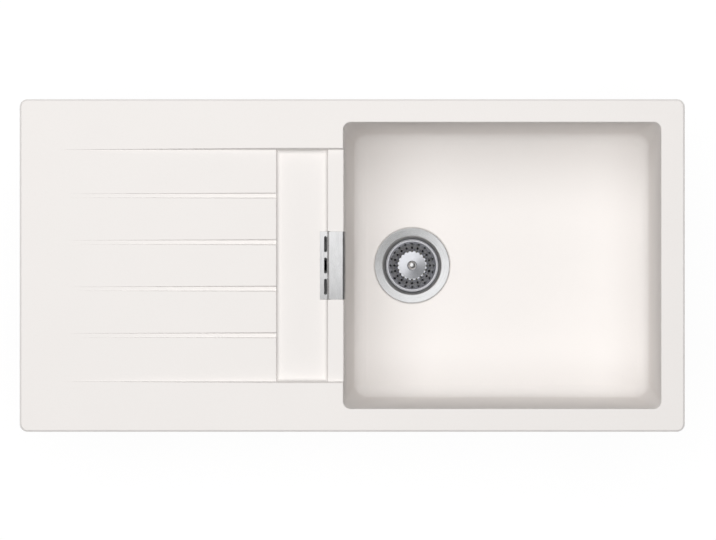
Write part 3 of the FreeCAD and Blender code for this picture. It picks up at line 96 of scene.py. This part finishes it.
class Look:
    """A material built node by node; a socket's value is a number, a colour or an output."""

    def __init__(self, name):
        self.material = bpy.data.materials.new(name)
        self.material.use_nodes = True
        self.tree = self.material.node_tree
        self.tree.nodes.clear()
        self.place = self.add("ShaderNodeTexCoord").outputs["Object"]

    def add(self, kind, sockets=None, **settings):
        return add_node(self.tree, kind, sockets, **settings)

    def axis(self, number):
        """The place along X, Y or Z."""
        return self.add("ShaderNodeSeparateXYZ", {0: self.place}).outputs[number]

    def math(self, operation, *values):
        sockets = dict(enumerate(values))
        return self.add("ShaderNodeMath", sockets, operation=operation).outputs[0]

    def noise(self, scale, detail=2.0, roughness=0.5, vector=None):
        sockets = {
            "Vector": self.place if vector is None else vector,
            "Scale": scale,
            "Detail": detail,
            "Roughness": roughness,
        }
        return self.add("ShaderNodeTexNoise", sockets).outputs["Fac"]

    def stretched(self, *scales):
        """Noise with its own scale along each axis, for brushed or drawn surfaces."""
        mapping = self.add("ShaderNodeMapping", {"Vector": self.place})
        mapping.inputs["Scale"].default_value = scales
        return self.noise(1.0, 3.0, 0.6, mapping.outputs["Vector"])

    def between(self, value, low, high, from_low=0.0, from_high=1.0):
        """The value moved from one range into another, and held inside it."""
        sockets = {
            "Value": value,
            "From Min": from_low,
            "From Max": from_high,
            "To Min": low,
            "To Max": high,
        }
        return self.add("ShaderNodeMapRange", sockets).outputs["Result"]

    def spread(self, noise, low, high):
        """A noise moved into a range."""
        return self.between(noise, low, high, NOISE_LOW, NOISE_HIGH)

    def blend(self, factor, first, second):
        node = self.add("ShaderNodeMix", data_type="RGBA")
        for socket, value in ((0, factor), (6, first), (7, second)):
            put(self.tree, node.inputs[socket], value)
        return node.outputs[2]

    def tone(self, factor, colour, darker):
        """One colour and a darker one of the same hue, mixed by the factor."""
        return self.blend(factor, colour, [part * darker for part in colour[:3]] + [1.0])

    def bump(self, height, depth, strength=1.0, normal=None):
        sockets = {"Height": height, "Distance": depth, "Strength": strength}
        if normal is not None:
            sockets["Normal"] = normal
        return self.add("ShaderNodeBump", sockets).outputs["Normal"]

    def soft_edges(self, radius):
        """Normals of slightly rounded edges."""
        return self.add("ShaderNodeBevel", {"Radius": radius}, samples=4).outputs["Normal"]

    def rings(self, centre_x, centre_y):
        """(distance from an upright axis, angle round it)."""
        middle = (centre_x, centre_y, 0.0)
        sockets = {0: self.place, 1: middle}
        offset = self.add("ShaderNodeVectorMath", sockets, operation="SUBTRACT").outputs[0]
        parts = self.add("ShaderNodeSeparateXYZ", {0: offset})
        across, along = parts.outputs[0], parts.outputs[1]
        across_squared = self.math("MULTIPLY", across, across)
        along_squared = self.math("MULTIPLY", along, along)
        distance = self.math("SQRT", self.math("ADD", across_squared, along_squared))
        return distance, self.math("ARCTAN2", along, across)

    def finish(self, **sockets):
        """Closes the material with one surface shader; names take spaces for underscores."""
        shader = self.add("ShaderNodeBsdfPrincipled")
        for name, value in sockets.items():
            put(self.tree, shader.inputs[name.replace("_", " ")], value)
        self.add("ShaderNodeOutputMaterial", {"Surface": shader.outputs[0]})
        return self.material


# ---------------------------------------------------------------- stone, plastic and rubber

COMPOSITE = rgb(0.790, 0.761, 0.740)
COMPOSITE_GLOSS = 0.1
COMPOSITE_ROUGH = 0.8
FINE_GRAINS, DARK_GRAINS, MOTTLE, PATCHES, RIPPLES = 1500, 620, 11, 90, 240


def composite():
    """Matt off-white quartz composite: fine grain, a few darker grains and a faint mottle."""
    look = Look("composite")
    grain = look.noise(FINE_GRAINS)
    dark_grains = look.between(look.noise(DARK_GRAINS, 1), 0.0, 0.10, 0.66, 0.74)
    light_grains = look.between(grain, 0.0, 0.05, 0.35, 0.65)
    mottle = look.spread(look.noise(MOTTLE, 3), 0.0, 0.03)
    shade = look.math("ADD", look.math("ADD", dark_grains, light_grains), mottle)
    rough = look.spread(look.noise(PATCHES), COMPOSITE_ROUGH - 0.06, COMPOSITE_ROUGH + 0.06)
    fine = look.bump(grain, 0.02 * MM, 0.35, look.soft_edges(0.7 * MM))
    normal = look.bump(look.noise(RIPPLES), 0.05 * MM, 0.25, fine)
    return look.finish(Base_Color=look.tone(shade, COMPOSITE, 0.72), Roughness=rough,
                       Normal=normal, Specular_IOR_Level=COMPOSITE_GLOSS)


def plastic(name, colour, rough):
    """Moulded plastic with the fine texture of its mould and faint flow marks."""
    look = Look(name)
    texture = look.noise(1400)
    flow = look.noise(38, 3)
    shade = look.math("ADD", look.spread(flow, 0.0, 0.35), look.spread(texture, 0.0, 0.06))
    roughness = look.spread(flow, rough - 0.05, rough + 0.08)
    normal = look.bump(texture, 0.03 * MM, 0.5, look.soft_edges(0.35 * MM))
    return look.finish(Base_Color=look.tone(shade, colour, 0.80), Roughness=roughness,
                       Normal=normal)


RUBBER_DUST = rgb(0.16, 0.155, 0.15)


def rubber(name, colour):
    """Black rubber with a bloom of paler dust."""
    look = Look(name)
    bloom = look.between(look.noise(160, 4, 0.65), 0.0, 0.5, 0.45, 0.8)
    normal = look.bump(look.noise(1900), 0.03 * MM, 0.5, look.soft_edges(0.3 * MM))
    return look.finish(Base_Color=look.blend(bloom, colour, RUBBER_DUST),
                       Roughness=look.between(bloom, 0.55, 0.8), Normal=normal)


# ---------------------------------------------------------------- metals

WASTE_X = sum(corner.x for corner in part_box("waste_cup")) / 2
WASTE_Y = sum(corner.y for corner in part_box("waste_cup")) / 2
FLANGE_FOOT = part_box("waste_cup")[1].z - 1.6 * MM
LIP_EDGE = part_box("overflow_cover")[1].x - 2.9 * MM
SCREW_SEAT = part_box("clip_claw_1")[0].z
SCREW_PITCH = 0.8 * MM
RING_LINES = 2600.0
METAL_EDGE = 0.25 * MM
# how much rougher metal is where it is left as drawn or bent
DRAWN_ROUGHER = 0.15
# the drawn depth of a thread for each pitch, and how far and how deep the painted shade in its
# valleys goes
THREAD_DEPTH = 0.55
VALLEY_SHARE, VALLEY_TONE = 0.6, 0.35


def waste_rings(look):
    """Fine circles round the waste's axis, a little uneven along their length."""
    distance, angle = look.rings(WASTE_X, WASTE_Y)
    outward = look.math("MULTIPLY", distance, RING_LINES)
    joined = look.add("ShaderNodeCombineXYZ", {0: outward, 1: angle})
    return look.noise(1.0, 3, 0.6, joined.outputs[0])


def lines_along_y(look):
    return look.stretched(3200, 35, 900)


def lines_along_x(look):
    return look.stretched(35, 2600, 2600)


def turned_lines(look):
    """Tool marks of turned pieces, as thin level rings."""
    return look.stretched(60, 60, 4200)


def plated(look):
    return look.noise(900, 3)


def drawn_and_shaded_waste(look):
    """1 on the conical seat and the cup under the brushed flange, where painted shade darkens the
    steel and the drawn metal is rougher.
    """
    fade = 0.8 * MM
    return look.between(look.axis(2), 1.0, 0.0, FLANGE_FOOT - fade, FLANGE_FOOT + fade)


def bent_and_shaded_lip(look):
    """1 on the bend over the bowl's edge, and on the lip below it, where painted shade darkens the
    steel and the bent metal is rougher.
    """
    fade = 0.7 * MM
    return look.between(look.axis(0), 0.0, 1.0, LIP_EDGE - fade, LIP_EDGE + fade)


def cut_threads(look, lowest, highest, pitch):
    """(height of the thread, depth below its crest), both 0 outside the threaded length."""
    upright = look.axis(2)
    inside = look.math("MULTIPLY", look.math("GREATER_THAN", upright, lowest),
                       look.math("LESS_THAN", upright, highest))
    flank = look.math("PINGPONG", upright, pitch / 2)
    crest = look.math("MULTIPLY", look.math("DIVIDE", flank, pitch / 2), inside)
    return crest, look.math("SUBTRACT", inside, crest)


def steel(name, colour, lines, depth, rough, turned=0.0, duller_and_shaded=None, threads=None, bow=None):
    """Stainless or plated steel with brushed or turned lines, given as a height.

    turned is the anisotropy of lines that run round an upright axis.
    duller_and_shaded is (where, share): the metal there is left as it was drawn or bent, so
    rougher, and painted shade darkens its colour to the share.
    threads is (lowest, highest, pitch) of the heights between which a screw thread is cut.
    bow is the radius to which the sheet seems sprung along Y; only its normals are bent, and its
    shape stays flat.
    """
    look = Look(name)
    height = lines(look)
    shade = look.math("ADD", look.spread(height, 0.0, 0.45), look.spread(look.noise(70), 0.0, 0.3))
    base = look.tone(shade, colour, 0.82)
    roughness = look.spread(height, rough - 0.05, rough + 0.07)
    normal = look.bump(height, depth, 0.6, look.soft_edges(METAL_EDGE))
    if bow:
        along = look.axis(1)
        sag = look.math("DIVIDE", look.math("MULTIPLY", along, along), -2 * bow)
        normal = look.bump(sag, 1.0, 1.0, normal)
    if duller_and_shaded:
        where, share = duller_and_shaded
        drawn_and_shaded = where(look)
        # painted shade: the colour is darkened to the share where the mask is 1, in the waste's
        # cup and on the cover's lip
        base = look.blend(drawn_and_shaded, base, look.tone(1.0, colour, share))
        rougher = look.math("MULTIPLY", drawn_and_shaded, DRAWN_ROUGHER)
        roughness = look.math("ADD", roughness, rougher)
    if threads:
        crest, valley = cut_threads(look, *threads)
        pitch = threads[-1]
        normal = look.bump(crest, THREAD_DEPTH * pitch, 1.0, normal)
        # painted shade in the thread's valleys
        shaded = look.math("MULTIPLY", valley, VALLEY_SHARE)
        base = look.blend(shaded, base, look.tone(1.0, colour, VALLEY_TONE))
    sockets = {
        "Base_Color": base,
        "Metallic": 1.0,
        "Roughness": roughness,
        "Normal": normal,
        "Anisotropic": turned,
    }
    if turned:
        tangent = look.add("ShaderNodeTangent", direction_type="RADIAL", axis="Z")
        sockets["Tangent"] = tangent.outputs[0]
    return look.finish(**sockets)


def make_materials():
    """Every finish, by the name of its slot."""
    finishes = [
        composite(),
        rubber("seal_rubber", rgb(0.022, 0.022, 0.023)),
        rubber("stopper_rubber", rgb(0.030, 0.030, 0.032)),
        steel("cover_steel", rgb(0.90, 0.90, 0.905), lines_along_y, 0.012 * MM, 0.27,
              duller_and_shaded=(bent_and_shaded_lip, 0.35), bow=0.75),
        steel("waste_steel", rgb(0.90, 0.905, 0.91), waste_rings, 0.012 * MM, 0.26,
              turned=0.5, duller_and_shaded=(drawn_and_shaded_waste, 0.6)),
        steel("basket_steel", rgb(0.80, 0.81, 0.85), waste_rings, 0.006 * MM, 0.20),
        steel("knob_steel", rgb(0.92, 0.92, 0.93), waste_rings, 0.003 * MM, 0.12),
        steel("screw_steel", rgb(0.62, 0.62, 0.63), turned_lines, 0.010 * MM, 0.28),
        steel("zinc_steel", rgb(0.60, 0.61, 0.64), plated, 0.010 * MM, 0.34,
              threads=(SCREW_SEAT, 0.0, SCREW_PITCH)),
        steel("claw_steel", rgb(0.58, 0.57, 0.54), plated, 0.015 * MM, 0.38),
        steel("spring_steel", rgb(0.55, 0.55, 0.57), lines_along_x, 0.008 * MM, 0.32),
        steel("brass_insert", rgb(0.72, 0.53, 0.25), turned_lines, 0.010 * MM, 0.26),
        plastic("grey_plastic", rgb(0.56, 0.57, 0.58), 0.42),
        plastic("wing_plastic", rgb(0.035, 0.035, 0.038), 0.40),
        plastic("hose_plastic", rgb(0.62, 0.63, 0.64), 0.38),
        plastic("nylon", rgb(0.74, 0.72, 0.66), 0.36),
    ]
    return {finish.name.split(".")[0]: finish for finish in finishes}


def dress_nodes(materials):
    """Gives each carried-over piece the finish that its slot names."""
    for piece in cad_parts.values():
        for place in piece.material_slots:
            slot_name = place.material.name.split(".")[0]
            place.material = materials[slot_name]


# ---------------------------------------------------------------- pieces made of hoops

def add_hoop(mesh, centre, side, up, radius, sides):
    """A ring of points round a centre, counted from one direction towards the other."""
    hoop = []
    for corner in range(sides):
        turn = 2 * math.pi * corner / sides
        spoke = side * math.cos(turn) + up * math.sin(turn)
        hoop.append(mesh.verts.new(centre + spoke * radius))
    return hoop


def join_hoops(mesh, hoop, beyond):
    """The band of faces between two hoops."""
    for corner in range(len(hoop)):
        after = (corner + 1) % len(hoop)
        mesh.faces.new((hoop[corner], hoop[after], beyond[after], beyond[corner]))


def close_hoop(mesh, hoop, tip):
    """Faces from a hoop to one point."""
    for corner in range(len(hoop)):
        mesh.faces.new((hoop[corner], hoop[(corner + 1) % len(hoop)], tip))


def finished_piece(name, mesh, material):
    """A smooth object from the built mesh."""
    for face in mesh.faces:
        face.smooth = True
    bmesh.ops.recalc_face_normals(mesh, faces=mesh.faces)
    data = bpy.data.meshes.new(name)
    mesh.to_mesh(data)
    mesh.free()
    data.materials.append(material)
    piece = bpy.data.objects.new(name, data)
    bpy.context.scene.collection.objects.link(piece)
    return piece


# ---------------------------------------------------------------- the ribbed overflow hose

HOSE_BORE = 10.5 * MM
HOSE_VALLEY = 11.9 * MM
HOSE_BEND = 50.0 * MM
HOSE_CUFF = 24.0 * MM
HOSE_LIP = 0.4 * MM
HOSE_SIDES = 48
RIB_PITCH = 4.0 * MM
RIB_STEPS = 10
# shares of a pitch: half the valley, and the slope up to the crest
RIB_HALF_VALLEY, RIB_SLOPE = 0.1, 0.2


class HoseRoute:
    """Straight down from the overflow housing, round one bend and level to the waste."""

    def __init__(self):
        low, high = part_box("overflow_hose")
        self.crest = (high.y - low.y) / 2
        level = low.z + self.crest
        self.start = Vector((low.x + self.crest, (low.y + high.y) / 2, high.z))
        self.drop = high.z - level - HOSE_BEND
        self.arc = HOSE_BEND * math.pi / 2
        self.length = self.drop + self.arc + high.x - self.start.x - HOSE_BEND

    def at(self, distance):
        """Place and heading, a given way along the hose."""
        if distance <= self.drop:
            return self.start - Vector((0, 0, distance)), Vector((0, 0, -1))
        centre = self.start + Vector((HOSE_BEND, 0, -self.drop))
        past = distance - self.drop - self.arc
        if past >= 0:
            return centre + Vector((past, 0, -HOSE_BEND)), Vector((1, 0, 0))
        angle = (distance - self.drop) / HOSE_BEND
        spoke = Vector((-math.cos(angle), 0, -math.sin(angle)))
        return centre + spoke * HOSE_BEND, Vector((math.sin(angle), 0, -math.cos(angle)))


def rib_rings(route):
    """(distance, radius) of the outside: cuffs with bevelled ends, and rounded ribs between."""
    ribs = int((route.length - 2 * HOSE_CUFF) / RIB_PITCH)
    first = (route.length - ribs * RIB_PITCH) / 2
    rings = [(0.0, HOSE_VALLEY - HOSE_LIP), (HOSE_LIP, HOSE_VALLEY), (first / 2, HOSE_VALLEY)]
    for step in range(ribs * RIB_STEPS + 1):
        turn = step / RIB_STEPS % 1.0
        swell = (0.5 - abs(turn - 0.5) - RIB_HALF_VALLEY) / RIB_SLOPE
        swell = min(max(swell, 0.0), 1.0)
        swell = swell * swell * (3 - 2 * swell)
        radius = HOSE_VALLEY + (route.crest - HOSE_VALLEY) * swell
        rings.append((first + step * RIB_PITCH / RIB_STEPS, radius))
    rings.append((route.length - first / 2, HOSE_VALLEY))
    rings.append((route.length - HOSE_LIP, HOSE_VALLEY))
    rings.append((route.length, HOSE_VALLEY - HOSE_LIP))
    return rings


def make_hose(material):
    route = HoseRoute()
    outside = rib_rings(route)
    inside = [(distance, HOSE_BORE) for distance, _ in reversed(outside)]
    mesh = bmesh.new()
    side = Vector((0, 1, 0))
    hoops = []
    for distance, radius in outside + inside:
        spot, heading = route.at(distance)
        hoops.append(add_hoop(mesh, spot, side, heading.cross(side), radius, HOSE_SIDES))
    for hoop, beyond in zip(hoops, hoops[1:] + hoops[:1]):
        join_hoops(mesh, hoop, beyond)
    hose = finished_piece("ribbed_hose", mesh, material)
    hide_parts("overflow_hose")
    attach(hose, "sink")


# ---------------------------------------------------------------- the basket's knob

KNOB_BORE = 3.0 * MM
KNOB_NECK = 4.6 * MM
KNOB_SIDES = 64
# shares of the knob's height: the underside of its head, and the bore's end
KNOB_BRIM, KNOB_ROOF = 0.42, 0.55
KNOB_EDGE = 0.3 * MM
KNOB_BRIM_EDGE = 0.7 * MM
KNOB_DOME_FOOT = 0.9 * MM
KNOB_DOME_STEPS = 16
# below 1 the dome is fuller than an ellipse
KNOB_DOME_POWER = 0.8


def knob_profile(radius, foot, brim, top):
    """(radius, height) of the outside, from the bore's edge at the foot to just under the top."""
    profile = [
        (KNOB_BORE, foot),
        (KNOB_NECK - KNOB_EDGE, foot),
        (KNOB_NECK, foot + KNOB_EDGE),
        (KNOB_NECK, brim - 0.8 * MM),
        (KNOB_NECK + 0.3 * MM, brim - 0.25 * MM),
        (KNOB_NECK + 0.9 * MM, brim),
        (radius - KNOB_BRIM_EDGE, brim),
        (radius - 0.2 * MM, brim + 0.2 * MM),
        (radius, brim + KNOB_BRIM_EDGE),
    ]
    dome = top - brim - KNOB_DOME_FOOT
    for step in range(KNOB_DOME_STEPS):
        rise = math.pi / 2 * step / KNOB_DOME_STEPS
        out = radius * math.cos(rise) ** KNOB_DOME_POWER
        profile.append((out, top - dome * (1 - math.sin(rise))))
    return profile


def make_knob(material):
    """A turned knob with a full dome, in the place of the plainer solid."""
    low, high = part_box("post_knob")
    height = high.z - low.z
    brim = low.z + KNOB_BRIM * height
    roof = low.z + KNOB_ROOF * height
    middle_x, middle_y = (low.x + high.x) / 2, (low.y + high.y) / 2
    across, along = Vector((1, 0, 0)), Vector((0, 1, 0))
    profile = knob_profile((high.x - low.x) / 2, low.z, brim, high.z)
    mesh = bmesh.new()
    hoops = []
    for radius, level in profile + [(KNOB_BORE, roof)]:
        centre = Vector((middle_x, middle_y, level))
        hoops.append(add_hoop(mesh, centre, across, along, radius, KNOB_SIDES))
    *outside, bore_end = hoops
    for hoop, beyond in zip(outside, outside[1:]):
        join_hoops(mesh, hoop, beyond)
    join_hoops(mesh, outside[0], bore_end)
    close_hoop(mesh, outside[-1], mesh.verts.new((middle_x, middle_y, high.z)))
    close_hoop(mesh, bore_end, mesh.verts.new((middle_x, middle_y, roof)))
    knob = finished_piece("domed_knob", mesh, material)
    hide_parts("post_knob")
    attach(knob, "post")


# ---------------------------------------------------------------- the floor

FLOOR_HALF = 40.0
FLOOR_GAP = 0.2 * MM
# what the camera and metal see, what the shadow is drawn on, and what the sink is lit with
FLOOR_GLOW = 0.93
FLOOR_FAINT = rgb(0.09, 0.09, 0.09)
FLOOR_LIGHT = 0.85


def make_floor():
    """A pale floor under the sink's lowest point, white to the eye but for the object's shadow.

    It lights the outer walls and the underside as an evenly lit white floor does, and is clear
    from below.
    """
    mesh = bpy.data.meshes.new("floor")
    half = FLOOR_HALF
    corners = [(-half, -half, 0), (half, -half, 0), (half, half, 0), (-half, half, 0)]
    mesh.from_pydata(corners, [], [(0, 1, 2, 3)])
    floor = bpy.data.objects.new("floor", mesh)
    floor.location.z = cad_box[0].z - FLOOR_GAP
    bpy.context.scene.collection.objects.link(floor)
    look = Look("floor")
    path = look.add("ShaderNodeLightPath").outputs
    seen = look.math("MAXIMUM", path["Is Camera Ray"], path["Is Glossy Ray"])
    seen = look.math("MAXIMUM", seen, path["Is Transmission Ray"])
    glow = look.add("ShaderNodeEmission", {"Color": WHITE, "Strength": FLOOR_GLOW})
    faint = look.add("ShaderNodeBsdfDiffuse", {"Color": FLOOR_FAINT})
    pale = look.add("ShaderNodeEmission", {"Color": WHITE, "Strength": FLOOR_LIGHT})
    shown = look.add("ShaderNodeAddShader", {0: glow.outputs[0], 1: faint.outputs[0]})
    top = look.add("ShaderNodeMixShader", {0: seen, 1: pale.outputs[0], 2: shown.outputs[0]})
    clear = look.add("ShaderNodeBsdfTransparent")
    under = look.add("ShaderNodeNewGeometry").outputs["Backfacing"]
    both = look.add("ShaderNodeMixShader", {0: under, 1: top.outputs[0], 2: clear.outputs[0]})
    look.add("ShaderNodeOutputMaterial", {"Surface": both.outputs[0]})
    look.tree.nodes.remove(look.place.node)
    look.material.cycles.emission_sampling = "NONE"
    mesh.materials.append(look.material)


# ---------------------------------------------------------------- the studio's light

AMBIENT = 0.03
STUDIO_DIM = 0.12
PANEL_BRIGHT = 1.1
PANEL_DIRECTION = Vector((-0.22, 0.24, 0.945)).normalized()
# cosines of the angle from the panel's middle: where it has faded out, and where it is full
PANEL_FADED, PANEL_FULL = 0.80, 0.97
# heights of a direction: up to where the horizon is white, and where that has faded out
HORIZON_FULL, HORIZON_FADED = 0.02, 0.2

KEY_PLACE = Vector((-0.28, 0.50, 3.6))
KEY_RADIUS = 2.4
KEY_LEVEL = 1.12


def make_world():
    """A dim even studio; metal sees a bright panel overhead and the white round the horizon."""
    world = bpy.data.worlds.new("studio")
    bpy.context.scene.world = world
    world.use_nodes = True
    tree = world.node_tree
    tree.nodes.clear()

    def fade(value, start, end, first, last):
        sockets = {
            "Value": value,
            "From Min": start,
            "From Max": end,
            "To Min": first,
            "To Max": last,
        }
        node = add_node(tree, "ShaderNodeMapRange", sockets, interpolation_type="SMOOTHSTEP")
        return node.outputs["Result"]

    def background(strength):
        sockets = {"Color": WHITE, "Strength": strength}
        return add_node(tree, "ShaderNodeBackground", sockets).outputs[0]

    def larger(first, second):
        sockets = {0: first, 1: second}
        return add_node(tree, "ShaderNodeMath", sockets, operation="MAXIMUM").outputs[0]

    def mixed(factor, first, second):
        sockets = {0: factor, 1: first, 2: second}
        return add_node(tree, "ShaderNodeMixShader", sockets).outputs[0]

    path = add_node(tree, "ShaderNodeLightPath").outputs
    direction = add_node(tree, "ShaderNodeTexCoord").outputs["Generated"]
    sockets = {0: direction, 1: PANEL_DIRECTION}
    product = add_node(tree, "ShaderNodeVectorMath", sockets, operation="DOT_PRODUCT")
    panel = fade(product.outputs["Value"], PANEL_FADED, PANEL_FULL, STUDIO_DIM, PANEL_BRIGHT)
    height = add_node(tree, "ShaderNodeSeparateXYZ", {0: direction}).outputs[2]
    horizon = fade(height, HORIZON_FULL, HORIZON_FADED, 1.0, 0.0)
    unseen = mixed(path["Is Glossy Ray"], background(AMBIENT), background(larger(panel, horizon)))
    seen_clear = larger(path["Is Camera Ray"], path["Is Transmission Ray"])
    both = mixed(seen_clear, unseen, background(1.0))
    add_node(tree, "ShaderNodeOutputWorld", {"Surface": both})


def make_lights():
    """One round soft key from above, a little to the upper left.

    Its energy lights a level surface at the worktop's height to KEY_LEVEL, where 1 is plain light.
    """
    lamp = bpy.data.lights.new("key", "AREA")
    lamp.shape = "DISK"
    lamp.size = 2 * KEY_RADIUS
    lamp.energy = KEY_LEVEL * math.pi**2 * (KEY_PLACE.z**2 + KEY_RADIUS**2)
    key = bpy.data.objects.new("key", lamp)
    key.location = KEY_PLACE
    key.visible_glossy = False
    bpy.context.scene.collection.objects.link(key)


# ---------------------------------------------------------------- the camera

# how wide the photograph is at the worktop's height, and the point it is centred on
PHOTO_WIDTH = 1076.9 * MM
AIM_X, AIM_Y = 8.65 * MM, -6.8 * MM
# millimetres, as Blender's camera takes them
LENS = 1200.0
SENSOR = 36.0
CLIP_START, CLIP_END = 0.1, 200.0


def make_camera():
    """Straight down from far off, as the photograph is taken."""
    data = bpy.data.cameras.new("camera")
    data.type = "PERSP"
    data.lens = LENS
    data.sensor_width = SENSOR
    data.clip_start = CLIP_START
    data.clip_end = CLIP_END
    camera = bpy.data.objects.new("camera", data)
    camera.location = (AIM_X, AIM_Y, PHOTO_WIDTH * LENS / SENSOR)
    bpy.context.scene.collection.objects.link(camera)
    bpy.context.scene.camera = camera


# ---------------------------------------------------------------- the scene

bpy.context.scene.view_settings.view_transform = "Standard"
make_camera()
materials = make_materials()
dress_nodes(materials)
make_hose(materials["hose_plastic"])
make_knob(materials["knob_steel"])
make_floor()
make_world()
make_lights()
